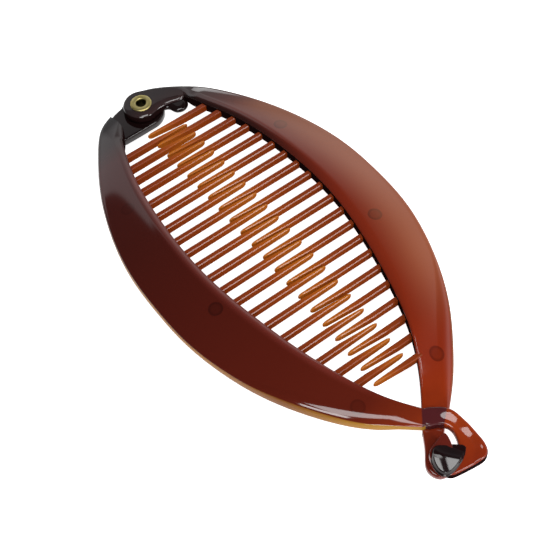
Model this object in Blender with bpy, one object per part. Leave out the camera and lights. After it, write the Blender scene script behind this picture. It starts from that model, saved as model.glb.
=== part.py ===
"""Fishtail banana hair clip: two comb arms on a brass eyelet, crossing and hooked at the clasp end.

Metres in the scene, millimetres in the named sizes. +Y runs from the clasp to the hinge, +X to the
right arm and +Z up, out of the curved face. The arms are drawn flat, then bent over the arch.
"""

import math

import bmesh
import bpy
import numpy as np

MM = 0.001

# Comb
PITCH = 5.0
RIGHT_TEETH = 21
LEFT_TEETH = 20
FIRST_TOOTH_Y = 50.0
TIP_PAST_MIDDLE = 5.5
PAIR_OFFSET = 1.15
PAIR_SPREAD_AT_HINGE = 1.4
PAIR_SPREAD_AT_CLASP = 0.9
TOOTH_WIDTH = 1.5
TIP_SLANT = 0.8
TIP_ROUND = 1.4
TIP_STEPS = [(1.0, 0.87, 0.0, 0.05, 1.0), (0.25, 1.0, 0.2, 0.2, 0.8), (0.0, 1.15, 0.35, 0.4, 0.5)]
TOOTH_TOP = 0.1
TOOTH_HEIGHT_ROOT = 2.4
TOOTH_HEIGHT_MIDDLE = 2.2
TOOTH_HEIGHT_TIP = 1.9
TOOTH_BURY = 1.2

# Arms: the inner edge, the outer edge, and the moulded section between them. The bow is drawn for this width
DRAWN_WIDTH = 71.6
CLIP_WIDTH = 71.6
INNER_BOW = [(12.8, 51.6), (17.3, 37.5), (20.2, 18.0), (20.6, 1.0), (18.3, -16.5), (13.0, -37.5), (6.6, -52.0)]
OUTER_BOW = [(20.6, 53.2), (28.6, 37.5), (34.6, 17.0), (35.8, -1.0), (34.2, -18.0), (27.3, -37.5), (18.0, -52.0)]
INNER_CLASP = [(1.0, -60.0), (-3.2, -65.4)]
OUTER_CLASP = [(10.8, -59.6), (4.2, -65.4)]
RIGHT_INNER_HINGE = [(2.0, 58.6), (5.0, 58.6), (8.2, 57.7), (10.4, 56.2)]
RIGHT_OUTER_HINGE = [(0.6, 67.2), (5.4, 65.6), (10.2, 62.8), (15.4, 59.2)]
FACE_INNER_Z = 1.8
FACE_OUTER_Z = -1.0
FACE_CROWN = 0.35
FACE_THICK = 2.3
WALL_THICK = 1.9
WALL_AT_HINGE = 4.4
WALL_AT_CLASP = 3.8
EDGE_ROUND = 0.8
ROLL_WIDTH = 2.4
ROLL_DROP = 0.8
STATIONS = 48
SEAM = 0.05

# Arch of the whole clip: its drop at the first tooth
ARCH_DROP = 2.9

# Hinge
HINGE_Y = 62.8
PLATE_RADIUS = 5.4
LOWER_RADIUS = 6.4
UPPER_PLATE = 2.6
LOWER_PLATE = 2.4
HINGE_LAP_Z = -2.4
LAP_GAP = 0.3
STEP_X = 9.2
STEP_INNER_Y = 57.9
STEP_OUTER_Y = 65.2
LUG_RADIUS = 2.8
LUG_AT = (8.9, 57.0)
LUG_BELOW_FACE = 0.7

# Eyelet
BARREL_RADIUS = 2.0
BARREL_BORE = 1.4
FLANGE_RADIUS = 3.2
UPPER_FLANGE = 0.6
LOWER_FLANGE = 0.9
BARREL_CLEAR = 0.2
FLANGE_CLEAR = 0.1

# Clasp: the tails follow the arch's slope at this place, the left one lapped over the right one
TAIL_Y = -71.0
LEFT_TAIL_TOP = 0.5
TAIL_THICK = 2.4
TAIL_FOOT_Y = -76.8
TAIL_FOOT_SLOPE = 0.06
HOOK_SEAT = 0.1
HOOK_HEAD_CLEAR = 0.4
HOOK_HEAD_THICK = 2.4

LEFT_TAIL = [(2.4, -64.4), (-0.8, -68.2), (-1.5, -69.4), (-1.6, -71.2), (-0.9, -73.1), (0.7, -75.0), (2.8, -76.1)]
LEFT_TAIL += [(5.2, -76.4), (6.0, -77.0), (5.0, -77.9), (3.0, -78.5), (-1.6, -79.2), (-4.2, -79.3), (-5.8, -78.4)]
LEFT_TAIL += [(-6.6, -76.0), (-6.5, -72.2), (-5.6, -67.4), (-3.2, -64.4), (0.0, -62.4)]
RIGHT_TAIL = [(4.2, -64.4), (1.3, -68.2), (0.4, -70.4), (-0.2, -72.5), (-1.4, -74.8), (-3.2, -76.4), (-5.4, -76.6)]
RIGHT_TAIL += [(-7.2, -75.6), (-8.0, -73.2), (-7.1, -70.9), (-5.0, -68.3), (-2.6, -64.6), (0.8, -62.4)]
HOOK_STEM = [(-6.8, -72.0), (-5.4, -70.6), (-2.4, -69.7), (-0.3, -69.4), (0.0, -70.6), (-0.5, -72.4), (-1.6, -74.4)]
HOOK_STEM += [(-3.2, -75.5), (-5.6, -75.6), (-6.9, -74.4)]
HOOK_HEAD = [(-7.8, -75.2), (-7.0, -72.4), (-5.0, -70.6), (-3.0, -70.8), (-0.3, -72.6), (1.6, -74.2), (1.4, -75.4)]
HOOK_HEAD += [(-0.7, -76.8), (-3.4, -77.7), (-5.6, -77.9), (-7.2, -77.2)]
LOWER_FRONT = [(-13.0, 56.8), (-9.5, 56.3), (-5.0, 56.3)]
LOWER_BACK = [(-7.4, 66.7), (-11.0, 64.9), (-13.8, 60.8)]


def clear_scene():
    for obj in list(bpy.data.objects):
        bpy.data.objects.remove(obj)


def spline(points, count, closed=False):
    """Smooth path through the points, one value for each step of their shared parameter."""
    pts = np.array(points, float)
    if closed:
        pts = np.vstack([pts[-3:], pts, pts[:4]])
    n = len(pts)
    knots = np.arange(n, dtype=float)
    a = np.zeros((n, n))
    b = np.zeros_like(pts)
    a[0, 0] = a[-1, -1] = 1.0
    for i in range(1, n - 1):
        a[i, i - 1 : i + 2] = (1.0, 4.0, 1.0)
        b[i] = 6.0 * (pts[i + 1] - 2.0 * pts[i] + pts[i - 1])
    m = np.linalg.solve(a, b)
    t = np.linspace(3, n - 4, count + 1)[:-1] if closed else np.linspace(0, n - 1, count)
    i = np.minimum(t.astype(int), n - 2)
    u = (t - knots[i])[:, None]
    v = 1.0 - u
    return v * pts[i] + u * pts[i + 1] + ((v**3 - v) * m[i] + (u**3 - u) * m[i + 1]) / 6.0


def arch(y):
    """Height of the clip's curved surface."""
    return -ARCH_DROP * (np.asarray(y) / FIRST_TOOTH_Y) ** 2


def tail_level(y):
    """Height of the arch's tangent plane at the tails."""
    slope = -2.0 * ARCH_DROP * TAIL_Y / FIRST_TOOTH_Y**2
    return float(arch(TAIL_Y)) + slope * (y - TAIL_Y)


def bowed(points):
    return [(x * CLIP_WIDTH / DRAWN_WIDTH, y) for x, y in points]


def ease(t):
    t = np.clip(t, 0.0, 1.0)
    return t * t * (3.0 - 2.0 * t)


def mesh_object(name, points, faces):
    mesh = bpy.data.meshes.new(name)
    mesh.from_pydata((np.asarray(points) * MM).tolist(), [], faces)
    bm = bmesh.new()
    bm.from_mesh(mesh)
    bmesh.ops.recalc_face_normals(bm, faces=bm.faces)
    bm.to_mesh(mesh)
    bm.free()
    obj = bpy.data.objects.new(name, mesh)
    bpy.context.scene.collection.objects.link(obj)
    return obj


def loft(name, sections):
    """Closed solid through rings of equal count."""
    rings = np.array(sections)
    count, size = rings.shape[:2]
    faces = []
    for i in range(count - 1):
        for j in range(size):
            k = (j + 1) % size
            faces.append((i * size + j, i * size + k, (i + 1) * size + k, (i + 1) * size + j))
    faces.append(tuple(range(size)))
    faces.append(tuple(range((count - 1) * size, count * size))[::-1])
    return mesh_object(name, rings.reshape(-1, 3), faces)


def meshed(obj):
    """The evaluated object as a plain mesh object of the same name, its caps welded."""
    bpy.context.view_layer.update()
    graph = bpy.context.evaluated_depsgraph_get()
    mesh = bpy.data.meshes.new_from_object(obj.evaluated_get(graph))
    name = obj.name
    bpy.data.objects.remove(obj)
    bm = bmesh.new()
    bm.from_mesh(mesh)
    bmesh.ops.remove_doubles(bm, verts=bm.verts, dist=1e-6)
    bmesh.ops.recalc_face_normals(bm, faces=bm.faces)
    bm.to_mesh(mesh)
    bm.free()
    mesh.name = name
    fresh = bpy.data.objects.new(name, mesh)
    bpy.context.scene.collection.objects.link(fresh)
    return fresh


def plate(name, outline, low, high):
    """Flat outline filled and given its thickness."""
    curve = bpy.data.curves.new(name, "CURVE")
    curve.dimensions = "2D"
    curve.fill_mode = "BOTH"
    curve.extrude = (high - low) / 2 * MM
    line = curve.splines.new("POLY")
    line.points.add(len(outline) - 1)
    for point, (x, y) in zip(line.points, outline):
        point.co = (x * MM, y * MM, 0.0, 1.0)
    line.use_cyclic_u = True
    obj = bpy.data.objects.new(name, curve)
    bpy.context.scene.collection.objects.link(obj)
    obj = meshed(obj)
    for vertex in obj.data.vertices:
        vertex.co.z += (high + low) / 2 * MM
    return obj


def disc(x, y, radius, count=40):
    angle = np.linspace(0, 2 * math.pi, count, endpoint=False)
    return np.stack([x + radius * np.cos(angle), y + radius * np.sin(angle)], 1)


def tilted(obj):
    """The flat piece laid on the tangent plane of the tails."""
    for vertex in obj.data.vertices:
        vertex.co.z += tail_level(vertex.co.y / MM) * MM
    return obj


def boolean(obj, other, operation):
    modifier = obj.modifiers.new(operation.lower(), "BOOLEAN")
    modifier.operation = operation
    modifier.solver = "EXACT"
    modifier.object = other
    obj = meshed(obj)
    bpy.data.objects.remove(other)
    return obj


def section(inner, outer, face_in, face_out, wall, thick, crown):
    """One ring across an arm: face on top, the tall inner wall, and the thin underside."""
    width = math.dist(inner, outer)

    def top(w):
        t = w / width
        return face_in + (face_out - face_in) * t + crown * 4.0 * t * (1.0 - t)

    r = EDGE_ROUND
    deep = max(wall - thick, 0.06)
    crest = top(ROLL_WIDTH)
    ring = [(0.0, face_in - wall), (0.0, crest - ROLL_DROP), (0.13 * ROLL_WIDTH, crest - 0.5 * ROLL_DROP)]
    ring += [(0.5 * ROLL_WIDTH, crest - 0.13 * ROLL_DROP), (ROLL_WIDTH, crest)]
    ring += [(w * width, top(w * width)) for w in (0.4, 0.6, 0.8)]
    ring += [(width - r, top(width - r)), (width - 0.29 * r, face_out - 0.29 * r), (width, face_out - r)]
    ring += [(width, face_out - thick), (width - 0.4, top(width - 0.4) - thick - 0.05)]
    ring += [(width * 0.5, top(width * 0.5) - thick)]
    ring += [(WALL_THICK + min(deep, 0.8), top(WALL_THICK) - thick - 0.02)]
    ring += [(WALL_THICK, face_in - thick - 0.5 * deep), (WALL_THICK - 0.3, face_in - wall)]
    along = (np.array(outer) - np.array(inner)) / width
    return [(inner[0] + along[0] * w, inner[1] + along[1] * w, z) for w, z in ring]


def band(name, side, inner, outer, foot, clasp_rise, level=None):
    """The bowed arm. Near the hinge its wall goes down to the plate's foot, and its face may come to a level."""
    rings = []
    for i, o in zip(spline(inner, STATIONS), spline(outer, STATIONS)):
        y = (i[1] + o[1]) / 2
        to_clasp = ease((-46.0 - y) / 12.0)
        to_hinge = 0.0 if level is None else ease((y - 54.0) / 8.0)
        to_step = ease((y - 55.0) / 5.0) if level is None else 0.0
        base = float(arch(y))
        face_in = base + FACE_INNER_Z
        face_out = base + FACE_OUTER_Z
        wall = WALL_AT_HINGE + (WALL_AT_CLASP - WALL_AT_HINGE) * (HINGE_Y - y) / (HINGE_Y + FIRST_TOOTH_Y)
        wall += (FACE_THICK - wall) * to_clasp
        face_in += (tail_level(y) + clasp_rise - face_in) * to_clasp
        face_out += (tail_level(y) + clasp_rise - face_out) * to_clasp
        if level is not None:
            face_in += (level - face_in) * to_hinge
            face_out += (level - face_out) * to_hinge
        wall += (face_in - foot - wall) * ease((y - 51.0) / 6.0)
        thick = FACE_THICK + (face_out - foot - FACE_THICK) * to_step
        crown = FACE_CROWN * (1.0 - max(to_clasp, to_hinge))
        rings.append(section(i, o, face_in, face_out, wall, thick, crown))
    rings = np.array(rings)
    rings[:, :, 0] *= side
    return loft(name, rings)


def tooth_ring(x, near, far, top, height):
    """Six corners of a tooth's section: chamfered top, slightly drafted sides."""
    chamfer = min(0.25, 0.3 * abs(far - near))
    draft = 0.1 * (far - near)
    step = math.copysign(chamfer, far - near)
    low = top - height
    ring = [(near, top - 0.3 * height), (near + step, top), (far - step, top), (far, top - 0.3 * height)]
    ring += [(far - draft, low), (near + draft, low)]
    return [(x, y, z) for y, z in ring]


def comb(name, side, rows, edge):
    """Row of teeth buried in the inner wall. Each tip is cut slant on the side where its partner passes."""
    points = []
    faces = []
    order = np.argsort(edge[:, 1])
    tip = -TIP_PAST_MIDDLE
    half = TOOTH_WIDTH / 2
    for y in rows:
        root = float(np.interp(y, edge[order, 1], edge[order, 0])) + TOOTH_BURY
        top = float(arch(y)) + TOOTH_TOP
        back = y + side * half
        front = y - side * half
        slant = side * TIP_SLANT
        rings = [tooth_ring(root, front, back, top, TOOTH_HEIGHT_ROOT)]
        rings += [tooth_ring(TIP_PAST_MIDDLE, front, back, top, TOOTH_HEIGHT_MIDDLE)]
        for away, lean, trim, drop, share in TIP_STEPS:
            tip_front = front + lean * slant
            tip_back = back - trim * slant
            rings += [tooth_ring(tip + away * TIP_ROUND, tip_front, tip_back, top - drop, TOOTH_HEIGHT_TIP * share)]
        rings = np.array(rings)
        rings[:, :, 0] *= side
        size = rings.shape[1]
        start = len(points)
        points += rings.reshape(-1, 3).tolist()
        for i in range(len(rings) - 1):
            for j in range(size):
                k = (j + 1) % size
                a = start + i * size
                faces.append((a + j, a + k, a + size + k, a + size + j))
        faces.append(tuple(range(start, start + size)))
        faces.append(tuple(range(start + (len(rings) - 1) * size, start + len(rings) * size))[::-1])
    return mesh_object(name, points, faces)


def coloured(obj, colour, roughness, metallic):
    material = bpy.data.materials.new(obj.name)
    material.use_nodes = True
    shader = material.node_tree.nodes["Principled BSDF"]
    shader.inputs["Base Color"].default_value = (*colour, 1.0)
    shader.inputs["Roughness"].default_value = roughness
    shader.inputs["Metallic"].default_value = metallic
    obj.data.materials.clear()
    obj.data.materials.append(material)
    for polygon in obj.data.polygons:
        polygon.use_smooth = True
    obj.data.set_sharp_from_angle(angle=math.radians(35))


clear_scene()

# Levels of the lapped plates, and of the tails above the arch's tangent plane
lap = float(arch(HINGE_Y)) + HINGE_LAP_Z
upper_low = lap + LAP_GAP / 2
upper_high = upper_low + UPPER_PLATE
lower_high = lap - LAP_GAP / 2
lower_low = lower_high - LOWER_PLATE
top = upper_high + FLANGE_CLEAR
low = lower_low - FLANGE_CLEAR
rest = low - LOWER_FLANGE
left_tail_low = LEFT_TAIL_TOP - TAIL_THICK
right_tail_top = left_tail_low - LAP_GAP
bore = BARREL_RADIUS + BARREL_CLEAR
inner_edge = bowed(INNER_BOW) + INNER_CLASP
outer_edge = bowed(OUTER_BOW) + OUTER_CLASP

# Rows of teeth: each left tooth lies beside a right one, further off at both ends
right_rows = FIRST_TOOTH_Y - PITCH * np.arange(RIGHT_TEETH)
spread = PAIR_SPREAD_AT_HINGE * np.clip((right_rows - 37.0) / 13.0, 0.0, 1.0)
spread += PAIR_SPREAD_AT_CLASP * ease((-10.0 - right_rows) / 32.0)
left_rows = (right_rows - PAIR_OFFSET - spread)[:LEFT_TEETH]

# Right arm: band, comb, upper hinge plate, stop lug and lower tail in one moulding
right_inner = RIGHT_INNER_HINGE + inner_edge
right_outer = RIGHT_OUTER_HINGE + outer_edge
right = band("right_arm", 1, right_inner, right_outer, upper_low + SEAM, right_tail_top - SEAM, upper_high - SEAM)
edge = spline(right_inner, 400)
right = boolean(right, comb("right_comb", 1, right_rows, edge[edge[:, 1] < 55.0]), "UNION")
right = boolean(right, plate("upper_plate", disc(0, HINGE_Y, PLATE_RADIUS), upper_low, upper_high), "UNION")
lug = plate("lug", disc(*LUG_AT, LUG_RADIUS, 28), upper_low + 2 * SEAM, upper_high - LUG_BELOW_FACE)
right = boolean(right, lug, "UNION")
tail = plate("tail", spline(RIGHT_TAIL, 60, True), rest, right_tail_top)
for vertex in tail.data.vertices:
    y = vertex.co.y / MM
    below = vertex.co.z < (rest + right_tail_top) / 2 * MM
    foot = rest + TAIL_FOOT_SLOPE * (y - TAIL_FOOT_Y)
    vertex.co.z = (foot if below else tail_level(y) + right_tail_top) * MM
right = boolean(right, tail, "UNION")
right = boolean(right, plate("bore", disc(0, HINGE_Y, bore), upper_low - 3, upper_high + 3), "DIFFERENCE")

# Left arm: the same, with the lower hinge plate behind a step and the notched upper tail
left_inner = [(STEP_X, STEP_INNER_Y), (11.3, 54.6)] + inner_edge
left_outer = [(STEP_X, STEP_OUTER_Y), (14.6, 61.8)] + outer_edge
left = band("left_arm", -1, left_inner, left_outer, lower_low + 8 * SEAM, LEFT_TAIL_TOP - SEAM)
edge = spline(left_inner, 400)
left = boolean(left, comb("left_comb", -1, left_rows, edge[edge[:, 1] < 55.0]), "UNION")
turn = np.linspace(-1.5, 2.3, 30)
far_side = np.stack([LOWER_RADIUS * np.cos(turn), HINGE_Y + LOWER_RADIUS * np.sin(turn)], 1)
outline = np.vstack([LOWER_FRONT, far_side, LOWER_BACK])
left = boolean(left, plate("lower_plate", outline, lower_low, lower_high), "UNION")
left = boolean(left, tilted(plate("tail", spline(LEFT_TAIL, 90, True) * (-1, 1), left_tail_low, LEFT_TAIL_TOP)), "UNION")
left = boolean(left, plate("bore", disc(0, HINGE_Y, bore), lower_low - 3, lower_high + 3), "DIFFERENCE")

# Eyelet: brass tube with a rolled flange at each end
tube = [(BARREL_BORE, low), (BARREL_BORE + 0.4, rest), (FLANGE_RADIUS - 0.5, rest)]
tube += [(FLANGE_RADIUS, low - 0.5 * LOWER_FLANGE), (FLANGE_RADIUS - 0.1, low), (BARREL_RADIUS, low)]
tube += [(BARREL_RADIUS, top), (FLANGE_RADIUS - 0.1, top), (FLANGE_RADIUS, top + 0.5 * UPPER_FLANGE)]
tube += [(FLANGE_RADIUS - 0.5, top + UPPER_FLANGE), (BARREL_BORE + 0.4, top + 0.8 * UPPER_FLANGE), (BARREL_BORE, top)]
rings = []
for angle in np.linspace(0, 2 * math.pi, 48, endpoint=False):
    rings.append([(r * math.cos(angle), r * math.sin(angle) + HINGE_Y, z) for r, z in tube])
rings = np.array(rings)
count, size = rings.shape[:2]
faces = []
for i in range(count):
    n = (i + 1) % count
    for j in range(size):
        k = (j + 1) % size
        faces.append((i * size + j, i * size + k, n * size + k, n * size + j))
eyelet = mesh_object("eyelet", rings.reshape(-1, 3), faces)

# Hook: stem through the notch of the upper tail, and a domed head that overhangs it
head_low = LEFT_TAIL_TOP + HOOK_HEAD_CLEAR
hook = plate("clasp_hook", spline(HOOK_STEM, 40, True), right_tail_top + HOOK_SEAT, head_low + 0.6)
head = spline(HOOK_HEAD, 36, True)
middle = head.mean(0)
rings = []
for share, scale in [(0.0, 0.96), (0.15, 1.0), (0.45, 0.97), (0.75, 0.84), (0.93, 0.62), (1.0, 0.3)]:
    ring = middle + (head - middle) * scale
    rings.append([(x, y, head_low + share * HOOK_HEAD_THICK) for x, y in ring])
hook = tilted(boolean(hook, loft("head", rings), "UNION"))

# Frame: origin under the middle of the clip, on the plane that it rests on
pieces = [right, left, eyelet, hook]
corners = np.array([v.co[:] for piece in pieces for v in piece.data.vertices])
low_corner = corners.min(0)
high_corner = corners.max(0)
group = bpy.data.collections.new("banana_clip")
bpy.context.scene.collection.children.link(group)
frame = bpy.data.objects.new("clip_frame", None)
frame.location = (-(low_corner[0] + high_corner[0]) / 2, -(low_corner[1] + high_corner[1]) / 2, -low_corner[2])
group.objects.link(frame)
pivot = bpy.data.objects.new("hinge_axis", None)
pivot.location = (0.0, HINGE_Y * MM, lap * MM)
pivot.parent = frame
group.objects.link(pivot)
for piece in pieces:
    bpy.context.scene.collection.objects.unlink(piece)
    group.objects.link(piece)
    piece.parent = frame
for vertex in left.data.vertices:
    vertex.co -= pivot.location
left.parent = pivot

# Finishes
coloured(right, (0.20, 0.035, 0.012), 0.12, 0.0)
coloured(left, (0.15, 0.026, 0.014), 0.12, 0.0)
coloured(eyelet, (0.62, 0.48, 0.16), 0.28, 1.0)
coloured(hook, (0.045, 0.016, 0.014), 0.1, 0.0)
print("hinge at", [round(v, 6) for v in (frame.location + pivot.location)])
print("low corner", [round(v / MM, 3) for v in low_corner])
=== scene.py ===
import math

import bmesh
import bpy
import numpy as np
from mathutils.geometry import delaunay_2d_cdt
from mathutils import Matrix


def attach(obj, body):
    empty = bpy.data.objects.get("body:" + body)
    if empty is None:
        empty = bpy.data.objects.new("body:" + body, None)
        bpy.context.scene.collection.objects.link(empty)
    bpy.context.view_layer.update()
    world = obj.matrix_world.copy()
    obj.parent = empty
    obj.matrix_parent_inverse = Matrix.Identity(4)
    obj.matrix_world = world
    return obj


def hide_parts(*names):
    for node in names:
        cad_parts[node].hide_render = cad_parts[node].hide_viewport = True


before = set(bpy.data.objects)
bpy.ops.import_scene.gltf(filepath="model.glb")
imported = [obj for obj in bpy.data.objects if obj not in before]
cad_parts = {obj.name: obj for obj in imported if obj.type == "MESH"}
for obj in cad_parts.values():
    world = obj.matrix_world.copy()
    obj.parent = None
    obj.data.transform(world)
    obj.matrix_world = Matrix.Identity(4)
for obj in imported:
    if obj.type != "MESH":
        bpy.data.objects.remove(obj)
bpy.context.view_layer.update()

# Right arm: one injection moulding of translucent tortoiseshell plastic. It is a bowed band with a tall
# inner wall, a comb of teeth, the upper hinge plate with its stop lug, and a tail that runs under the
# other arm. It turns on the eyelet and carries the hook.

# Outlines are drawn in millimetres from the middle of the comb, and these shifts bring them to the frame.
MM = 0.001
SHIFT_Y = 5.086
SHIFT_Z = 10.525
ARCH_DROP = 2.9
ARCH_RUN = 50.0
HINGE_Y = 62.8
TAIL_Y = -71.0
INNER_BOW = [(12.8, 51.6), (17.3, 37.5), (20.2, 18.0), (20.6, 1.0), (18.3, -16.5), (13.0, -37.5), (6.6, -52.0)]
OUTER_BOW = [(20.6, 53.2), (28.6, 37.5), (34.6, 17.0), (35.8, -1.0), (34.2, -18.0), (27.3, -37.5), (18.0, -52.0)]
INNER_CLASP = [(1.0, -60.0), (-3.2, -65.4)]
RIGHT_OUTER_CLASP = [(11.6, -59.4), (5.2, -65.2)]

# Each point carries two paint values: depth tells the kind of surface, and across how far it lies from the
# inner edge. GLOSSY as the second one marks dark plates that shine; on teeth it runs from 0 to -1 at the tip.
STRIP, FACE, WALL = 0.2, 1.0, 2.0
TOOTH_TOP, TOOTH_FLANK, TOOTH_LOW = 3.0, 3.5, 4.0
GLOSSY = 2.0
PLAIN_PLATE = (FACE, 0.5)
DARK_PLATE = (WALL, GLOSSY)


def arch(y):
    """Height of the clip's curved surface: a parabola that drops 2.9 mm in 50 mm."""
    return -ARCH_DROP * (np.asarray(y) / ARCH_RUN) ** 2


def tail_level(y):
    """Height of the parabola's tangent at the tails."""
    return float(arch(TAIL_Y)) - 2.0 * ARCH_DROP * TAIL_Y / ARCH_RUN**2 * (np.asarray(y) - TAIL_Y)


def ease(t):
    """Smooth step from 0 to 1: t t (3 - 2 t), held at both ends."""
    t = np.clip(t, 0.0, 1.0)
    return t * t * (3.0 - 2.0 * t)


def after(y, begin, reach):
    """0 up to begin and 1 from begin + reach on, smooth between. A negative reach runs towards the clasp."""
    return ease((y - begin) / reach)


def spline(points, count, closed=False):
    """Natural cubic through the points, evenly stepped in their shared parameter."""
    pts = np.array(points, float)
    if closed:
        pts = np.vstack([pts[-3:], pts, pts[:4]])
    n = len(pts)
    a = np.diag(np.full(n, 4.0)) + np.diag(np.ones(n - 1), 1) + np.diag(np.ones(n - 1), -1)
    a[0, :2] = (1.0, 0.0)
    a[-1, -2:] = (0.0, 1.0)
    b = np.zeros_like(pts)
    b[1:-1] = 6.0 * (pts[2:] - 2.0 * pts[1:-1] + pts[:-2])
    m = np.linalg.solve(a, b)
    t = np.linspace(3, n - 4, count + 1)[:-1] if closed else np.linspace(0, n - 1, count)
    i = np.minimum(t.astype(int), n - 2)
    u = (t - i)[:, None]
    v = 1.0 - u
    return v * pts[i] + u * pts[i + 1] + ((v**3 - v) * m[i] + (u**3 - u) * m[i + 1]) / 6.0


def grid_faces(rows, size, closed_rows=False):
    """Quads between neighbouring rings of equal size, as one array of corner numbers."""
    i = np.arange(rows if closed_rows else rows - 1)[:, None]
    j = np.arange(size)[None, :]
    k = (j + 1) % size
    n = (i + 1) % rows
    quads = np.stack([i * size + j, i * size + k, n * size + k, n * size + j], -1)
    return quads.reshape(-1, 4)


class Moulding:
    """Gathers shells and their per-point paint values into one mesh object."""

    def __init__(self):
        self.points, self.faces, self.paint, self.count = [], [], [], 0

    def add(self, rings, paint, caps=True, closed_rows=False):
        """rings is rows by size by 3 in millimetres, and paint rows by size by 2: depth and across."""
        rows, size = rings.shape[:2]
        faces = (grid_faces(rows, size, closed_rows) + self.count).tolist()
        if caps:
            faces.append(list(range(self.count, self.count + size)))
            faces.append(list(range(self.count + (rows - 1) * size, self.count + rows * size))[::-1])
        self.points.append(rings.reshape(-1, 3))
        self.paint.append(np.broadcast_to(paint, (rows, size, 2)).reshape(-1, 2))
        self.faces += faces
        self.count += rows * size

    def add_net(self, points, faces, paint):
        """Loose triangles over their own points, in one paint."""
        self.points.append(points)
        self.paint.append(np.broadcast_to(paint, (len(points), 2)))
        self.faces += (np.array(faces) + self.count).tolist()
        self.count += len(points)

    def finish(self, name, sharp=40.0):
        """The mesh object, with shared points joined and edges sharper than the angle kept crisp."""
        points = np.concatenate(self.points) + (0.0, SHIFT_Y, SHIFT_Z)
        mesh = bpy.data.meshes.new(name)
        mesh.from_pydata((points * MM).tolist(), [], self.faces)
        paint = np.concatenate(self.paint)
        for n, key in enumerate(("depth", "across")):
            layer = mesh.attributes.new(key, "FLOAT", "POINT")
            layer.data.foreach_set("value", paint[:, n].astype(np.float32))
        bm = bmesh.new()
        bm.from_mesh(mesh)
        bmesh.ops.remove_doubles(bm, verts=bm.verts, dist=1e-6)
        bmesh.ops.recalc_face_normals(bm, faces=bm.faces)
        bm.to_mesh(mesh)
        bm.free()
        mesh.polygons.foreach_set("use_smooth", np.ones(len(mesh.polygons), bool))
        mesh.set_sharp_from_angle(angle=math.radians(sharp))
        obj = bpy.data.objects.new(name, mesh)
        bpy.context.scene.collection.objects.link(obj)
        return obj


BAND_ROWS = 280
FACE_THICK = 2.3
WALL_THICK = 1.9
WALL_TALL = 4.4
WALL_TAPER = 0.6
CREST_RISE = 1.8
OUTER_DROP = 1.0
CROWN = 0.35
COMB_END = -50.0
DIP_END = -59.0
SLIM_FROM = -28.0
DEEP_WALL_FROM = 51.0
PLATE_FROM = 54.0
STEP_FROM = 55.0


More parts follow.
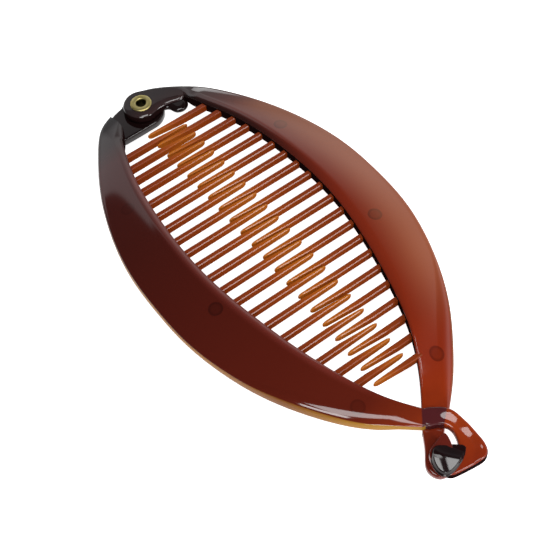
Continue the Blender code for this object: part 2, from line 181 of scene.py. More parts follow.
def band_rings(inner, outer, foot, clasp_rise, dip_from, level=None):
    """Section of the band carried along its two edges: rounded face on top, tall inner wall, thin underside.

    Each ring runs from the foot of the inner wall over the face to the outer edge and back underneath.
    Towards the clasp the face comes to the tail's plane; near the hinge the wall goes down to the foot of
    the plate, and the face either comes to the plate's level or ends as a solid step.
    """
    i = spline(inner, BAND_ROWS)
    o = spline(outer, BAND_ROWS)
    y = (i[:, 1] + o[:, 1]) / 2
    none = 0.0 * y
    to_clasp = after(y, dip_from, DIP_END - dip_from)
    to_hinge = none if level is None else after(y, PLATE_FROM, 8.0)
    to_step = after(y, STEP_FROM, 5.0) if level is None else none
    face_in = arch(y) + CREST_RISE
    face_out = arch(y) - OUTER_DROP
    wall = WALL_TALL - WALL_TAPER * (HINGE_Y - y) / (HINGE_Y - COMB_END)
    wall += (FACE_THICK - wall) * to_clasp
    face_in += (tail_level(y) + clasp_rise - face_in) * to_clasp
    face_out += (tail_level(y) + clasp_rise - face_out) * to_clasp
    if level is not None:
        face_in += (level - face_in) * to_hinge
        face_out += (level - face_out) * to_hinge
    wall += (face_in - foot - wall) * after(y, DEEP_WALL_FROM, 6.0)
    thick = FACE_THICK + (face_out - foot - FACE_THICK) * to_step
    crown = CROWN * (1.0 - np.maximum(to_clasp, to_hinge))
    width = np.linalg.norm(o - i, axis=1)
    slim = after(y, SLIM_FROM, -18.0)
    roll_width = 2.4 - 1.7 * slim
    roll_drop = 0.8 - 0.3 * slim
    broad = after(y, SLIM_FROM, -22.0) * (1.0 - after(y, DIP_END, -6.5))
    r_out = 0.8 + 4.2 * broad
    out_drop = 0.8 + 0.7 * broad
    low_edge = 0.9 * after(y, -10.0, -30.0) * (1.0 - after(y, -58.5, -4.0))
    r_foot = 0.35 + 0.45 * after(y, 50.0, 8.0)

    def top(w):
        """Height of the face at w from the inner edge: a straight slope with a parabola as its crown."""
        t = w / width
        return face_in + (face_out - face_in) * t + crown * 4.0 * t * (1.0 - t)

    bend = np.linspace(0.0, math.pi / 2, 9)
    ring = [(r_foot * (1 - math.sin(b)), face_in - wall + r_foot * (1 - math.cos(b))) for b in bend]
    crest = top(roll_width)
    for b in bend[:-1]:
        ring += [(roll_width * (1 - math.cos(b)), crest - roll_drop * (1 - math.sin(b)))]
    flat = width - roll_width - r_out
    ring += [(roll_width + flat * t, top(roll_width + flat * t)) for t in np.linspace(0, 1, 17)]
    shoulder = top(width - r_out)
    ring += [(width - r_out * (1 - math.sin(b)), shoulder - out_drop * (1 - math.cos(b))) for b in bend[1:]]
    side_from = len(ring) - 3
    under = face_out - thick - low_edge
    ring += [(width, under + 0.5), (width - 0.15, under + 0.15)]
    side_to = len(ring)
    ring += [(width - 0.5, under)]
    ring += [(width * t, top(width * t) - thick - low_edge * t * t) for t in (0.85, 0.65, 0.45, 0.3)]
    deep = np.maximum(wall - thick, 0.06)
    ring += [(WALL_THICK + np.minimum(deep, 0.8), top(WALL_THICK + none) - thick)]
    ring += [(WALL_THICK + none, face_in - thick - 0.5 * deep), (WALL_THICK - 0.3 + none, face_in - wall)]
    w = np.stack([a for a, _ in ring], 1)
    z = np.stack([b for _, b in ring], 1)
    way = (o - i) / width[:, None]
    points = np.stack([i[:, :1] + way[:, :1] * w, i[:, 1:] + way[:, 1:] * w, z], -1)
    depth = np.full(w.shape, FACE)
    depth[:, : len(bend) + 1] = WALL
    depth[:, -3:] = WALL
    depth[:, side_from:side_to] = STRIP
    return points, np.stack([depth, w / width[:, None]], -1), i


TIP_X = -5.5
CUT_X = 5.5
TIP_ROUND = 1.4
TOOTH_HALF = 0.75
TOOTH_CUT = 0.8
ROOT_SUNK = 1.2
TOOTH_EDGE = 0.24


def teeth_shells(mould, side, rows_y, edge):
    """Each tooth is a bar from the wall to past the middle, with chamfered upper and rounded lower edges.

    Towards its tip it is cut slant on the side where its partner lies, and its end closes as a half ellipse.
    """
    order = np.argsort(edge[:, 1])
    turn = np.linspace(0, math.pi / 2, 5)
    corner = np.concatenate([[0.0, math.pi / 2], [math.pi / 2, math.pi], turn + math.pi, turn + 1.5 * math.pi])
    right_half = np.repeat([1.0, -1.0, -1.0, 1.0], [2, 2, 5, 5])
    upper_half = np.repeat([1.0, 0.0], [4, 10])
    to_top = (TOOTH_FLANK - TOOTH_TOP) * upper_half * np.sin(corner) ** 4
    to_low = (TOOTH_LOW - TOOTH_FLANK) * (1.0 - upper_half) * np.sin(corner) ** 2
    facing = TOOTH_FLANK - to_top + to_low
    close = TIP_X + TIP_ROUND * np.array([0.8, 0.6, 0.42, 0.27, 0.15, 0.06, 0.015, 0.0])
    for y in rows_y:
        root = float(np.interp(y, edge[order, 1], edge[order, 0])) + ROOT_SUNK
        x = np.concatenate([np.linspace(root, CUT_X, 10), np.linspace(CUT_X - 0.5, TIP_X + TIP_ROUND, 12), close])
        past = np.clip((CUT_X - x) / (CUT_X - TIP_X), 0.0, 1.0)
        left = np.clip((x - TIP_X) / TIP_ROUND, 0.0, 1.0)
        end = np.sqrt(left * (2.0 - left))
        front = -TOOTH_HALF + TOOTH_CUT * past
        middle = (front + TOOTH_HALF) / 2
        half = (TOOTH_HALF - front) / 2 * (0.1 + 0.9 * end)
        down = np.interp(x, [TIP_X, CUT_X, root], [1.9, 2.2, 2.4]) * (0.35 + 0.65 * end)
        top = arch(y) + 0.1 - 0.45 * (1.0 - end)
        r = np.minimum(TOOTH_EDGE, np.minimum(0.8 * half, 0.4 * down))[:, None]
        yy = middle[:, None] + right_half * (half[:, None] - r) + r * np.cos(corner)
        zz = top[:, None] - r - (1.0 - upper_half) * (down[:, None] - 2.0 * r) + r * np.sin(corner)
        xx = side * np.broadcast_to(x[:, None], yy.shape)
        across = np.broadcast_to(-((root - x) / (root - TIP_X))[:, None], yy.shape)
        paint = np.stack([np.broadcast_to(facing, yy.shape), across], -1)
        mould.add(np.stack([xx, y + side * yy, zz], -1), paint)


def net(ring, step=0.4):
    """Triangles that fill a closed outline: its own points and an inner grid, joined by Delaunay's rule."""
    low, high = ring.min(0), ring.max(0)
    x, y = np.meshgrid(np.arange(low[0], high[0], step), np.arange(low[1], high[1], step))
    x = (x + 0.5 * step * (np.arange(len(x)) % 2)[:, None]).ravel()[:, None]
    y = y.ravel()[:, None]
    ax, ay = ring.T
    bx, by = np.roll(ring, -1, 0).T
    rise = np.where(by == ay, 1e-9, by - ay)
    crossed = ((ay > y) != (by > y)) & (x < ax + (bx - ax) * (y - ay) / rise)
    clear = np.hypot(x - ax, y - ay).min(1) > 0.6 * step
    kept = (crossed.sum(1) % 2 == 1) & clear
    points = np.vstack([ring, np.hstack([x, y])[kept]])
    made = delaunay_2d_cdt(points.tolist(), [], [list(range(len(ring)))], 1, 1e-6)
    return np.array([tuple(v) for v in made[0]]), made[2]


SUPPORT = 0.04


def plate_shell(
    mould, outline, low, high, round_top, round_low, paint, plane=None, side=None, lift=None, rise=None, hole=None
):
    """Flat outline with rounded rims: rings pushed in along the outline's own normals, then closed.

    low, high and round_top may be one value or one for each point. plane adds the height of a tilted plane,
    side is the paint depth of the upright part, lift raises the top by a formula of x and y, rise is the
    height of the upper rounding, and hole is an upright hole's x, y and radius.
    """
    out = np.array(outline, float)
    ahead = np.roll(out, -1, 0) - np.roll(out, 1, 0)
    normal = np.stack([ahead[:, 1], -ahead[:, 0]], 1) / np.linalg.norm(ahead, axis=1)[:, None]
    area = np.sum(out[:, 0] * np.roll(out[:, 1], -1) - np.roll(out[:, 0], -1) * out[:, 1])
    normal *= 1.0 if area > 0 else -1.0
    zero = np.zeros((len(out), 1))
    top = zero[:, 0] + round_top
    rise = round_top if rise is None else rise
    bend = np.linspace(0.0, math.pi / 2, 7)
    steps = [(round_low + SUPPORT, low)]
    steps += [(round_low * (1 - math.sin(b)), low + round_low * (1 - math.cos(b))) for b in bend]
    steps += [(top * (1 - math.cos(b)), high - rise * (1 - math.sin(b))) for b in bend]
    steps += [(top + SUPPORT, high)]
    # Rings 1 to 7 are the lower rounding and rings 8 to 14 the upper one.
    upright = slice(5, 11)
    upper = slice(8, None)
    insets = [zero + np.reshape(i, (-1, 1)) for i, _ in steps]
    heights = [zero + np.reshape(z, (-1, 1)) for _, z in steps]
    rings = [np.hstack([out - normal * i, z]) for i, z in zip(insets, heights)]
    tint = [np.broadcast_to(paint, (len(out), 2)).copy() for _ in steps]
    if side is not None:
        for t in tint[upright]:
            t[:, 0] = side
    if lift is not None:
        for r in rings[upper]:
            r[:, 2] += lift(r[:, 0], r[:, 1])
    if hole is not None:
        angle = np.arctan2(rings[-1][:, 1] - hole[1], rings[-1][:, 0] - hole[0])
        edge = np.column_stack([hole[0] + hole[2] * np.cos(angle), hole[1] + hole[2] * np.sin(angle)])
        rings += [np.column_stack([edge, rings[-1][:, 2]]), np.column_stack([edge, rings[0][:, 2]])]
        tint += [tint[-1], tint[0]]
    rings = np.stack(rings)
    if plane is not None:
        rings[:, :, 2] += plane(rings[:, :, 1])
    if lift is None:
        mould.add(rings, np.stack(tint), caps=hole is None, closed_rows=hole is not None)
        return
    mould.add(rings, np.stack(tint), caps=False)
    for r, raised in ((rings[-1], lift), (rings[0], lambda x, y: 0.0 * x)):
        points, faces = net(r[:, :2])
        near = np.argmin(np.hypot(points[:, :1] - r[:, 0], points[:, 1:] - r[:, 1]), 1)
        flat = r[near, 2] - raised(r[near, 0], r[near, 1]) - plane(r[near, 1])
        z = flat + raised(points[:, 0], points[:, 1]) + plane(points[:, 1])
        mould.add_net(np.column_stack([points, z]), faces, paint)


LAP_DROP = 2.4
PLATE_GAP = 0.15
UPPER_THICK = 2.6
LOWER_THICK = 2.4
FLANGE_THICK = 1.0
PIVOT_HOLE = (0.0, HINGE_Y, 2.2)
lap = float(arch(HINGE_Y)) - LAP_DROP
upper_low = lap + PLATE_GAP
upper_high = upper_low + UPPER_THICK
lower_high = lap - PLATE_GAP
lower_low = lower_high - LOWER_THICK
rest = lower_low - FLANGE_THICK
COMB_TOP = 50.0
PITCH = 5.0
RIGHT_TEETH = 21
ROOTS_BELOW = 55.0
right_rows = COMB_TOP - PITCH * np.arange(RIGHT_TEETH)
RIGHT_INNER_HINGE = [(2.9, 60.0), (5.2, 60.7), (8.6, 60.1), (11.3, 57.5)]
RIGHT_OUTER_HINGE = [(2.6, 67.3), (5.6, 66.3), (10.4, 63.5), (15.4, 59.6)]
RIGHT_TAIL = [(4.2, -64.4), (1.3, -68.2), (0.4, -70.4), (-0.2, -72.5), (-1.4, -74.8), (-3.2, -76.4), (-5.4, -76.6)]
RIGHT_TAIL += [(-7.2, -75.6), (-8.0, -73.2), (-7.1, -70.9), (-5.0, -68.3), (-2.6, -64.6), (0.8, -62.4)]
RIGHT_DIP_FROM = -42.0
RIGHT_CLASP_RISE = -2.25
SUNK = 0.05
mould = Moulding()
right_inner = RIGHT_INNER_HINGE + INNER_BOW + INNER_CLASP
right_outer = RIGHT_OUTER_HINGE + OUTER_BOW + RIGHT_OUTER_CLASP
points, paint, edge = band_rings(
    right_inner, right_outer, upper_low + SUNK, RIGHT_CLASP_RISE, RIGHT_DIP_FROM, upper_high - SUNK
)
mould.add(points, paint)
teeth_shells(mould, 1, right_rows, edge[edge[:, 1] < ROOTS_BELOW])

# The hinge plate is a drop around the bore with a soft front edge, and the lug stands out below it.
UPPER_RADIUS = 5.4
turn = np.radians(np.linspace(64.0, 292.0, 13))
teardrop = list(zip(UPPER_RADIUS * np.cos(turn), HINGE_Y + UPPER_RADIUS * np.sin(turn)))
teardrop += [(4.6, 58.0), (7.4, 57.6), (10.2, 57.0), (12.6, 58.6), (11.6, 62.2), (8.0, 64.9), (5.0, 66.5)]
drop = spline(teardrop, 200, True)
front = ease((HINGE_Y - 0.6 - drop[:, 1] - 0.35 * drop[:, 0]) / 3.0)
plate_shell(
    mould, drop, upper_low, upper_high, 0.7 + 1.7 * front, 0.8, PLAIN_PLATE, side=WALL, rise=1.6, hole=PIVOT_HOLE
)
LUG = [(3.2, 58.6), (4.8, 57.9), (6.0, 57.1), (6.4, 55.9), (7.2, 54.8), (8.9, 54.2), (10.6, 54.8), (11.5, 56.0)]
LUG += [(11.6, 57.6), (10.8, 59.4), (8.4, 60.4), (5.6, 60.8), (3.6, 60.2)]
plate_shell(mould, spline(LUG, 160, True), upper_low + 0.1, upper_high - 0.85, 1.5, 0.8, DARK_PLATE, rise=1.0)
RIGHT_TAIL_HIGH = -2.2
FOOT_SLOPE = 0.06
FOOT_END = -76.8
tail = spline(RIGHT_TAIL, 160, True)
foot = rest + FOOT_SLOPE * (tail[:, 1] - FOOT_END) - tail_level(tail[:, 1])
plate_shell(mould, tail, foot, RIGHT_TAIL_HIGH, 0.7, 0.4, PLAIN_PLATE, tail_level)
right_arm = mould.finish("right_arm_moulding")
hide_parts("right_arm")
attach(right_arm, "right_side")


class Sock:
    """A node's output. Operators add Math nodes; node() adds any other node and returns one of its outputs."""

    def __init__(self, tree, socket):
        self.tree, self.socket = tree, socket

    def node(self, kind, settings=None, out=0, **values):
        """Settings are set first; a value named i0, i1 and so on goes to that input, any other by its name."""
        made = self.tree.nodes.new(kind)
        for key, value in (settings or {}).items():
            if key == "stops":
                ramp = made.color_ramp
                for n, (place, colour) in enumerate(value):
                    stop = ramp.elements[n] if n < 2 else ramp.elements.new(place)
                    stop.position = place
                    stop.color = (*colour, 1.0)
            else:
                setattr(made, key, value)
        for key, value in values.items():
            name = int(key[1:]) if key[0] == "i" and key[1:].isdigit() else key.replace("_", " ")
            target = made.inputs[name]
            if isinstance(value, Sock):
                self.tree.links.new(value.socket, target)
            else:
                target.default_value = value
        return Sock(self.tree, made.outputs[out])

    def math(self, operation, a, b):
        """A Math node on two values."""
        return self.node("ShaderNodeMath", {"operation": operation}, i0=a, i1=b)

    def __add__(self, other):
        return self.math("ADD", self, other)

    __radd__ = __add__

    def __mul__(self, other):
        return self.math("MULTIPLY", self, other)

    __rmul__ = __mul__

    def __sub__(self, other):
        return self.math("SUBTRACT", self, other)

    def __rsub__(self, other):
        return self.math("SUBTRACT", other, self)

    def __truediv__(self, other):
        return self.math("DIVIDE", self, other)

    def __pow__(self, other):
        return self.math("POWER", self, other)

    def step(self, low, high):
        """0 below low, 1 above high, smooth between."""
        smooth = {"interpolation_type": "SMOOTHSTEP"}
        return self.node("ShaderNodeMapRange", smooth, i0=self, i1=low, i2=high, i3=0.0, i4=1.0)

    def ramp(self, stops):
        """Colour of this value on a ramp of places and colours."""
        return self.node("ShaderNodeValToRGB", {"stops": stops}, i0=self)

    def mix(self, other, factor):
        """This colour turned towards another by factor."""
        settings = {"data_type": "RGBA", "clamp_factor": True}
        return self.node("ShaderNodeMix", settings, out=2, i0=factor, i6=self, i7=other)

    def times(self, colour):
        """This colour multiplied by another."""
        settings = {"data_type": "RGBA", "blend_type": "MULTIPLY"}
        return self.node("ShaderNodeMix", settings, out=2, i0=1.0, i6=self, i7=colour)


def linear(red, green, blue):
    """Screen colour, 0 to 255, as the linear values that shaders take."""
    c = np.array((red, green, blue)) / 255.0
    return tuple(np.where(c < 0.04045, c / 12.92, ((c + 0.055) / 1.055) ** 2.4))


def paint_of(red, green, blue):
    """The same with full alpha, for a colour socket."""
    return (*linear(red, green, blue), 1.0)


def start(name):
    """A fresh material: its shader node, and a handle that adds nodes to it."""
    material = bpy.data.materials.new(name)
    material.use_nodes = True
    tree = material.node_tree
    return material, tree.nodes["Principled BSDF"], Sock(tree, None)


def attribute(handle, name):
    """A painted value of the mesh."""
    return handle.node("ShaderNodeAttribute", {"attribute_name": name}, out=2)


def put(handle, value, target):
    """Links a value to a shader's socket."""
    handle.tree.links.new(value.socket, target)


def places(handle):
    """The object's own coordinates as a vector, and its x and y."""
    where = handle.node("ShaderNodeTexCoord", out=3)
    x = handle.node("ShaderNodeSeparateXYZ", i0=where)
    return where, x, Sock(handle.tree, x.socket.node.outputs[1])


CLIP_RUN = 143.0
BLACK_WALL = linear(24, 12, 12)
LAPPED_SHADE_TONE = paint_of(68, 26, 32)
THIN_AND_SHEEN_TONE = paint_of(212, 148, 106)
# The dark colour of the teeth's undersides is a painted shade.
TOOTH_UNDERSIDE_SHADE = paint_of(50, 18, 14)
MARK_SHADE = (0.45, 0.4, 0.42, 1.0)
TOOTH_TOPS = [
    (0.0, linear(126, 49, 20)),
    (0.5, linear(139, 61, 20)),
    (0.75, linear(152, 77, 18)),
    (1.0, linear(164, 94, 24)),
]
# The flanks are painted a little darker than the tops, as painted shade.
TOOTH_SHADED_SIDES = [
    (0.0, linear(118, 47, 16)),
    (0.5, linear(127, 57, 18)),
    (0.8, linear(134, 69, 18)),
    (1.0, linear(146, 80, 24)),
]


def tortoiseshell(name, stops, strip_stops, strip_from, rim, sheen, marks, lapped):
    """Amber plastic whose colour goes with its thickness.

    The face runs through the stops from hinge to clasp, greyer near the hinge partly by a painted reflection, and
    gets paler outwards by sheen: partly thinner plastic, partly a painted sheen. rim is the colour of its inner
    edge, its strength, and where it rises and fades; on the left arm it is a painted highlight. The wall, the outer
    strip and the teeth have colours of their own, but the left strip's pale start near the hinge is a painted
    highlight, the teeth's darker flanks and dark undersides are painted shade, and their tips get a painted glow.
    marks are ejector rings by place, radius and strength, and lapped holds the two lines between which the face is
    darkened as a painted shade where it lies over the other tail.
    """
    material, shader, h = start(name)
    where, px, py = places(h)
    depth = attribute(h, "depth")
    across = attribute(h, "across")
    past_strip = depth.step(0.3, 0.8)
    on_wall = depth.step(1.15, 1.85)
    on_tooth = depth.step(2.4, 2.8)
    off_tooth = 1.0 - depth.step(2.1, 2.8)
    by_wall = 1.0 - across.step(0.04, 0.2)
    to_tip = across * -1.0
    along = ((HINGE_Y + SHIFT_Y) * MM - py) / (CLIP_RUN * MM)
    cloud = h.node("ShaderNodeTexNoise", Vector=where, Scale=38.0, Detail=3.0, Roughness=0.5)
    face = (along + (cloud - 0.5) * 0.05).ramp(stops)
    # Where the face lies over the other tail it gets a painted shade, dark purple.
    for line_x, line_y, way_x, way_y, edge_x, edge_y, turn_x, turn_y in lapped:
        past = (px - line_x * MM) * way_x + (py - (line_y + SHIFT_Y) * MM) * way_y
        short = (px - edge_x * MM) * turn_x + (py - (edge_y + SHIFT_Y) * MM) * turn_y
        both = past.step(-0.1 * MM, 0.3 * MM) * (1.0 - short.step(-0.3 * MM, 0.1 * MM))
        face = face.mix(LAPPED_SHADE_TONE, both * 0.92)
    for x, y, radius, strength in marks:
        dx = px - x * MM
        dy = py - (y + SHIFT_Y) * MM
        away = (dx * dx + dy * dy) ** 0.5
        inside = 1.0 - away.step((radius - 0.25) * MM, (radius + 0.05) * MM)
        hole = 1.0 - away.step((radius - 1.0) * MM, (radius - 0.35) * MM)
        face = face.mix(face.times(MARK_SHADE), (inside - hole * 0.45) * strength)
    # The inner-edge rim: a dark band on the right arm, a painted highlight on the left arm.
    rim_colour, rim_strength, rim_rise, rim_fade = rim
    rimmed = by_wall * along.step(*rim_rise) * (1.0 - along.step(*rim_fade)) * rim_strength
    face = face.mix((*rim_colour, 1.0), rimmed)
    # Paler towards the outer edge: partly thinner plastic, partly a painted sheen.
    thin_and_sheen = across.step(0.05, 0.85) * along.step(0.1, 0.18) * (1.0 - along.step(0.62, 0.8))
    face = face.mix(THIN_AND_SHEEN_TONE, thin_and_sheen * sheen)
    face = face.mix(along.ramp(strip_stops), (1.0 - past_strip) * along.step(strip_from, strip_from + 0.25))
    face = face.mix((*BLACK_WALL, 1.0), on_wall)
    # Teeth: tops in their own colour, flanks a little darker and undersides dark, as painted shade.
    tooth = to_tip.ramp(TOOTH_TOPS).mix(to_tip.ramp(TOOTH_SHADED_SIDES), depth.step(3.1, 3.45))
    tooth = tooth.mix(TOOTH_UNDERSIDE_SHADE, depth.step(3.52, 3.75))
    put(h, face.mix(tooth, on_tooth), shader.inputs["Base Color"])
    # Tooth tips get a painted glow: emission in the tooth's own colour, standing in for light through thin amber.
    painted_glow_mask = on_tooth * to_tip.step(0.3, 0.8)
    painted_glow = h.node("ShaderNodeMix", {"data_type": "RGBA"}, out=2, i0=painted_glow_mask, i6=(0, 0, 0, 1), i7=tooth)
    put(h, painted_glow, shader.inputs["Emission Color"])
    shader.inputs["Emission Strength"].default_value = 0.3
    scratch = h.node("ShaderNodeTexNoise", Vector=where, Scale=900.0, Detail=2.0)
    put(h, scratch * 0.05 + 0.09, shader.inputs["Roughness"])
    ripple = h.node("ShaderNodeTexNoise", Vector=where, Scale=120.0, Detail=2.0) * off_tooth
    put(h, h.node("ShaderNodeBump", Strength=0.05, Distance=0.4 * MM, Height=ripple), shader.inputs["Normal"])
    gloss = 0.25 + past_strip * 0.75 - on_wall * (1.0 - across.step(1.5, 1.9))
    gloss = gloss + on_tooth * (0.8 - depth.step(3.3, 3.45) * 0.8)
    gloss = gloss * (1.0 - by_wall * along.step(0.72, 0.8) * off_tooth * 0.55)
    put(h, gloss, shader.inputs["Coat Weight"])
    shader.inputs["Coat Roughness"].default_value = 0.07
    shader.inputs["Specular IOR Level"].default_value = 0.0
    return material


# Greyer and darker towards the hinge: partly the thick plastic there, partly a painted reflection.
RIGHT_STOPS = [
    (0.0, linear(44, 37, 38)),
    (0.05, linear(58, 38, 37)),
    (0.09, linear(76, 40, 37)),
    (0.15, linear(96, 42, 36)),
    (0.3, linear(108, 36, 22)),
    (0.45, linear(118, 36, 18)),
    (0.65, linear(124, 38, 16)),
    (0.8, linear(124, 38, 16)),
    (0.87, linear(138, 45, 14)),
    (0.9, linear(118, 38, 18)),
    (0.95, linear(104, 32, 20)),
]
RIGHT_MARKS = [(24.6, 28.3, 2.0, 0.8), (25.0, -12.5, 2.0, 0.9), (12.4, -52.1, 2.0, 0.8)]
RIGHT_STRIP = [(0.3, linear(120, 70, 40)), (0.9, linear(120, 66, 40))]
RIGHT_STRIP_FROM = 0.25
RIGHT_RIM = (BLACK_WALL, 0.85, (-0.2, -0.1), (0.15, 0.5))
# Strength of the painted sheen on the right face.
RIGHT_SHEEN = 0.24
right_plastic = tortoiseshell(
    "right_tortoiseshell", RIGHT_STOPS, RIGHT_STRIP, RIGHT_STRIP_FROM, RIGHT_RIM, RIGHT_SHEEN, RIGHT_MARKS, []
)
right_arm.data.materials.append(right_plastic)

# Left arm: the mirror moulding in the same plastic. Its lower hinge plate lies behind a step under the
# right plate, and its tail lies over the other one, with a notch for the hook's stem.

# Its teeth lie just below their partners, and a little further from them at both ends of the comb.
LEFT_TEETH = 20
TOOTH_STAGGER = 1.15
spread = 1.4 * np.clip((right_rows - 37.0) / 13.0, 0.0, 1.0) + 0.9 * after(right_rows, -10.0, -32.0)
left_rows = (right_rows - TOOTH_STAGGER - spread)[:LEFT_TEETH]
LEFT_INNER_HINGE = [(9.2, 57.9), (11.3, 54.6)]
LEFT_OUTER_HINGE = [(9.2, 65.2), (14.6, 61.8)]
LEFT_OUTER_CLASP = [(10.5, -59.1), (2.9, -65.0)]
LEFT_TAIL = [(2.2, -64.8), (0.2, -66.4), (-1.6, -67.7), (-2.3, -69.2), (-2.1, -71.0), (-1.2, -73.0), (0.7, -74.9)]
LEFT_TAIL += [(3.0, -75.9), (5.0, -76.2), (5.8, -77.0), (5.0, -77.9), (3.0, -78.5), (-1.6, -79.2), (-4.2, -79.3)]
LEFT_TAIL += [(-5.8, -78.4), (-6.6, -76.0), (-6.6, -72.2), (-6.2, -68.2), (-5.2, -65.2), (-2.8, -62.8), (0.6, -61.6)]
LEFT_DIP_FROM = -28.0
LEFT_CLASP_RISE = 0.2
STEP_SUNK = 0.4
LOWER_FRONT = [(-13.0, 56.8), (-9.5, 56.3), (-5.0, 56.3)]
LOWER_BACK = [(-7.4, 66.7), (-11.0, 64.9), (-13.8, 60.8)]
LOWER_RADIUS = 6.4
left_inner = LEFT_INNER_HINGE + INNER_BOW + INNER_CLASP
left_outer = LEFT_OUTER_HINGE + OUTER_BOW + LEFT_OUTER_CLASP
mould = Moulding()
points, paint, edge = band_rings(left_inner, left_outer, lower_low + STEP_SUNK, LEFT_CLASP_RISE, LEFT_DIP_FROM)
points[:, :, 0] *= -1
mould.add(points, paint)
teeth_shells(mould, -1, left_rows, edge[edge[:, 1] < ROOTS_BELOW])
turn = np.linspace(-1.5, 2.3, 60)
far_side = np.stack([LOWER_RADIUS * np.cos(turn), HINGE_Y + LOWER_RADIUS * np.sin(turn)], 1)
lower_plate = np.vstack([LOWER_FRONT, far_side, LOWER_BACK])
plate_shell(mould, lower_plate, lower_low, lower_high, 0.7, 0.5, DARK_PLATE, hole=PIVOT_HOLE)
fin = spline(LEFT_TAIL, 220, True) * (-1, 1)
fin_edge = fin[(fin[:, 0] > 4.0) & (fin[:, 1] < -64.5)]


def beaded(x, y):
    """Height of the bead along the fin's outer edge: full for 0.9 mm, then down to nothing in 2.2 mm.

    A faint wave along the edge, 5 mm long, is left by the mould's polish.
    """
    away = np.hypot(np.asarray(x)[:, None] - fin_edge[:, 0], np.asarray(y)[:, None] - fin_edge[:, 1]).min(1)
    wave = 1.0 + 0.2 * np.cos((np.asarray(y) + 66.0) * 2.0 * math.pi / 5.0)
    return 0.4 * wave * (1.0 - after(away, 0.9, 2.2))


dark_foot = 1.4 + 0.6 * after(fin[:, 1], -76.0, -2.0)
plate_shell(mould, fin, -1.9, 0.25, 0.6, 0.4, PLAIN_PLATE, tail_level, dark_foot, beaded)
left_arm = mould.finish("left_arm_moulding")
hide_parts("left_arm")
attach(left_arm, "left_side")
# Greyer and darker towards the hinge: partly the thick plastic there, partly a painted reflection.
LEFT_STOPS = [
    (0.0, linear(32, 29, 30)),
    (0.06, linear(46, 31, 31)),
    (0.11, linear(70, 32, 31)),
    (0.2, linear(66, 23, 19)),
    (0.3, linear(66, 20, 14)),
    (0.44, linear(72, 20, 12)),
    (0.65, linear(82, 23, 12)),
    (0.8, linear(88, 26, 13)),
    (0.87, linear(116, 38, 15)),
    (0.92, linear(146, 52, 16)),
    (1.0, linear(122, 36, 14)),
]
# Amber outer edge; its pale first stops near the hinge are a painted highlight.
LEFT_STRIP_AND_HIGHLIGHT = [
    (0.12, linear(196, 168, 148)),
    (0.3, linear(170, 132, 96)),
    (0.46, linear(152, 108, 60)),
    (0.55, linear(150, 104, 52)),
    (0.72, linear(118, 72, 34)),
    (0.88, linear(164, 120, 46)),
]
LEFT_STRIP_FROM = 0.06
LEFT_MARKS = [(-24.6, 30.3, 2.0, 0.3), (-24.5, -10.7, 2.0, 0.8), (-12.5, -52.3, 2.0, 0.5)]
# The left arm's inner edge gets a painted highlight: a lighter pinkish line.
LEFT_RIM_HIGHLIGHT = (linear(150, 70, 62), 0.3, (0.1, 0.2), (0.7, 0.85))
LEFT_SHEEN = 0.0
# Lines that bound the painted shade where the left face lies over the right arm.
LAPPED = [(0.0, -60.8, 0.789, -0.614, 9.8, -60.4, 0.66, -0.751)]
left_plastic = tortoiseshell(
    "left_tortoiseshell", LEFT_STOPS, LEFT_STRIP_AND_HIGHLIGHT, LEFT_STRIP_FROM, LEFT_RIM_HIGHLIGHT, LEFT_SHEEN, LEFT_MARKS, LAPPED
)
left_arm.data.materials.append(left_plastic)

# Eyelet: a brass tube rolled over at both ends, which rivets the two hinge plates together. Its upper roll
# is round and its lower one is pressed flat, because the clip lies on it.
top = upper_high + 0.1
low = lower_low - 0.1
TUBE_IN = 1.4
TUBE_OUT = 2.0
ROLL_CREST = 2.5
bend = np.linspace(0.0, math.pi / 2, 6)[1:]
profile = [(TUBE_IN, low), (TUBE_IN, top - 0.1)]
profile += [(TUBE_IN + 0.55 - 0.55 * math.cos(b), top - 0.1 + 0.5 * math.sin(b)) for b in bend]
profile += [(ROLL_CREST, top + 0.4)]
profile += [(ROLL_CREST + 0.6 * math.sin(b), top + 0.05 + 0.35 * math.cos(b)) for b in bend]
profile += [(3.05, top), (TUBE_OUT, top), (TUBE_OUT, low)]
profile += [(3.15, low), (3.2, low - 0.45), (2.9, low - 0.8), (2.7, rest), (1.8, rest), (1.5, rest + 0.3)]
radius, height = np.array(profile, float).T[:, None, :]
angle = np.linspace(0, 2 * math.pi, 96, endpoint=False)[:, None]
rings = np.stack([radius * np.cos(angle), HINGE_Y + radius * np.sin(angle), height + 0 * angle], -1)
mould = Moulding()
mould.add(rings, PLAIN_PLATE, caps=False, closed_rows=True)
eyelet = mould.finish("eyelet_brass", 60.0)
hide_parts("eyelet")
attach(eyelet, "right_side")
brass, shader, h = start("rolled_brass")
where, dx, py = places(h)
dy = py - (HINGE_Y + SHIFT_Y) * MM
tarnish = h.node("ShaderNodeTexNoise", Vector=where, Scale=420.0, Detail=4.0)
tone = tarnish.ramp([(0.3, linear(204, 192, 134)), (0.75, linear(182, 166, 100))])
# The inside of the bore is painted dark olive: a painted shade in the hole.
inside = 1.0 - ((dx * dx + dy * dy) ** 0.5).step(1.42 * MM, 1.62 * MM)
put(h, tone.mix(paint_of(58, 54, 20), inside), shader.inputs["Base Color"])
put(h, tarnish * 0.25 + 0.3, shader.inputs["Roughness"])
shader.inputs["Metallic"].default_value = 1.0
eyelet.data.materials.append(brass)

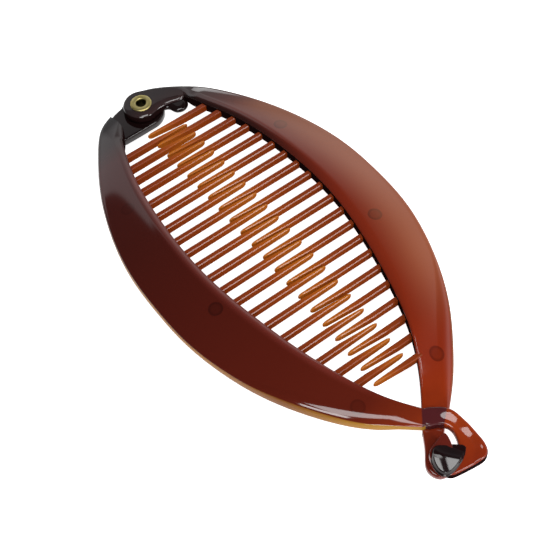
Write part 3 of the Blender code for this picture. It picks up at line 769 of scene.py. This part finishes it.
# Hook: a thick faceted lug of the same plastic on the right tail. Its stem stands in the notch of the
# other tail and its head overhangs that tail, so the clip stays shut until the tails are sprung apart.
HOOK_STEM = [(-6.8, -72.0), (-5.4, -70.6), (-2.4, -69.7), (-0.3, -69.4), (0.0, -70.6), (-0.5, -72.4), (-1.6, -74.4)]
HOOK_STEM += [(-3.2, -75.5), (-5.6, -75.6), (-6.9, -74.4)]
HOOK_HEAD = [(-7.8, -75.2), (-7.0, -72.4), (-5.0, -70.6), (-3.0, -70.8), (-0.3, -72.6), (1.6, -74.2), (1.4, -75.4)]
HOOK_HEAD += [(-0.7, -76.8), (-3.4, -77.7), (-5.6, -77.9), (-7.2, -77.2)]
STEM_PAINT = (0.0, 0.0)
mould = Moulding()
plate_shell(mould, spline(HOOK_STEM, 90, True), -2.1, 1.5, 0.2, 0.2, STEM_PAINT, tail_level)

# The head's rim goes up in five rings and its roof in thirty more, which shrink to the middle. The roof is
# the soft minimum of four planes through the apex; the last two face back.
RIM_TOP = 1.34
APEX = (-4.9, -73.3)
APEX_HIGH = 3.4
FACET_BLEND = 0.2
FACETS = np.array([(0.4, 0.14), (0.0, 0.28), (-0.05, -0.27), (-0.5, -0.3)])
head = spline(HOOK_HEAD, 120, True)
middle = head.mean(0)
levels = [(0.9, 0.95), (1.0, 0.985), (1.12, 1.0), (1.24, 0.99), (RIM_TOP, 0.96)]
levels += [(RIM_TOP, t) for t in np.linspace(0.93, 0.02, 30)]
rings = np.stack([np.column_stack([middle + (head - middle) * t, np.full(len(head), z)]) for z, t in levels])
reach = (rings[:, :, :2] - APEX) @ FACETS.T
roof = APEX_HIGH - FACET_BLEND * np.log(np.exp(-reach / FACET_BLEND).sum(-1)) - RIM_TOP
height = np.maximum(roof, 0.0) * ease(np.linspace(-1.0, 7.5, len(levels)))[:, None]
rings[:, :, 2] += height + tail_level(rings[:, :, 1])
at_back = (reach.argmin(-1) > 1) * 1.0
mould.add(rings, np.stack([np.ones_like(at_back), at_back], -1))
hook = mould.finish("hook_lug", 50.0)
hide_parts("clasp_hook")
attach(hook, "right_side")
dark_plastic, shader, h = start("thick_tortoiseshell")
where = h.node("ShaderNodeTexCoord", out=3)
cloud = h.node("ShaderNodeTexNoise", Vector=where, Scale=160.0, Detail=3.0)
tone = cloud.ramp([(0.25, linear(20, 11, 13)), (0.6, linear(28, 13, 14)), (0.9, linear(60, 22, 17))])
put(h, tone.mix(paint_of(92, 30, 22), 1.0 - attribute(h, "depth")), shader.inputs["Base Color"])
put(h, cloud * 0.06 + 0.06, shader.inputs["Roughness"])
put(h, 0.72 - attribute(h, "across") * 0.55, shader.inputs["Coat Weight"])
shader.inputs["Coat Roughness"].default_value = 0.11
shader.inputs["Specular IOR Level"].default_value = 0.0
hook.data.materials.append(dark_plastic)

# Stage: a plain white floor that gives off a little light, so that shadows stay faint, soft lights from the
# front, and the camera where the photograph was taken.
FLOOR_REACH = 20.0
FLOOR_LEVEL = -0.5 * MM
corners = [(FLOOR_REACH * a, FLOOR_REACH * b, FLOOR_LEVEL) for a, b in ((-1, -1), (1, -1), (1, 1), (-1, 1))]
floor_mesh = bpy.data.meshes.new("floor")
floor_mesh.from_pydata(corners, [], [(0, 1, 2, 3)])
floor = bpy.data.objects.new("floor", floor_mesh)
bpy.context.scene.collection.objects.link(floor)
white, shader, h = start("white_floor")
grain = h.node("ShaderNodeTexNoise", Vector=h.node("ShaderNodeTexCoord", out=3), Scale=60.0)
put(h, grain * 0.1 + 0.75, shader.inputs["Roughness"])
shader.inputs["Base Color"].default_value = (0.9, 0.9, 0.9, 1.0)
shader.inputs["Emission Color"].default_value = (1.0, 1.0, 1.0, 1.0)
shader.inputs["Emission Strength"].default_value = 0.9
floor.data.materials.append(white)

# The studio is bright near the horizon and dark overhead. On the left the dark has a crisp, slanting edge,
# which shows in the left arm, and on the right it comes in softly.
CRISP = [
    (0.0, (0.3, 0.3, 0.3)),
    (0.22, (0.4, 0.39, 0.4)),
    (0.4, (1.0, 0.99, 1.01)),
    (0.744, (1.0, 0.98, 1.0)),
    (0.764, (0.06, 0.06, 0.06)),
]
SOFT_GREYS = [(0.0, 0.3), (0.22, 0.42), (0.4, 1.05), (0.52, 1.1), (0.6, 0.75), (0.7, 0.22), (0.8, 0.05)]
SOFT = [(place, (grey, grey, grey)) for place, grey in SOFT_GREYS]
EDGE_SLANT = 1.5
world = bpy.data.worlds.new("studio")
bpy.context.scene.world = world
world.use_nodes = True
h = Sock(world.node_tree, None)
ray = h.node("ShaderNodeTexCoord", out=0)
rightward = h.node("ShaderNodeSeparateXYZ", i0=ray)
up = Sock(h.tree, rightward.socket.node.outputs[2])
slant = h.math("MAXIMUM", up, up - rightward * EDGE_SLANT)
sky = slant.ramp(CRISP).mix(up.ramp(SOFT), rightward.step(0.12, 0.4))
background = world.node_tree.nodes["Background"]
put(h, sky, background.inputs["Color"])
background.inputs["Strength"].default_value = 1.0


def softbox(name, place, target, width, height, power):
    """Rectangular area light at a place, turned to face a target."""
    data = bpy.data.lights.new(name, "AREA")
    data.shape = "RECTANGLE"
    data.size = width
    data.size_y = height
    data.energy = power
    obj = bpy.data.objects.new(name, data)
    away = np.array(place) - np.array(target)
    away = away / np.linalg.norm(away)
    side = np.cross((0, 0, 1), away)
    side = side / np.linalg.norm(side)
    turned = np.eye(4)
    turned[:3] = np.column_stack([side, np.cross(away, side), away, place])
    obj.matrix_world = turned.T.tolist()
    bpy.context.scene.collection.objects.link(obj)


softbox("key_light", (-0.05, -0.26, 0.95), (0, 0, 0), 0.4, 0.27, 2.5)
softbox("left_light", (-0.31, -0.29, 0.7), (0, -0.07, 0), 0.24, 0.18, 1.5)
softbox("right_light", (0.26, -0.46, 0.64), (0, -0.07, 0), 0.2, 0.16, 1.1)
softbox("ridge_light", (0.25, -0.66, 0.4), (0, 0, 0), 0.25, 0.2, 1.1)
softbox("low_light", (-0.32, -0.72, 0.2), (0, 0.06, 0), 0.25, 0.14, 1.6)

# The lens is the focal length in picture widths that was fitted to the photograph.
SENSOR = 36.0
FOCAL_PIXELS = 1200.1
PICTURE_PIXELS = 546.0
camera_data = bpy.data.cameras.new("photo_camera")
camera_data.sensor_width = SENSOR
camera_data.lens = SENSOR * FOCAL_PIXELS / PICTURE_PIXELS
camera_data.clip_start = 0.01
camera = bpy.data.objects.new("photo_camera", camera_data)
camera.location = (-0.09707, -0.149194, 0.263745)
camera.rotation_euler = (math.radians(33.7813), math.radians(2.8562), math.radians(-36.4390))
bpy.context.scene.collection.objects.link(camera)
bpy.context.scene.camera = camera
bpy.context.scene.view_settings.view_transform = "Standard"
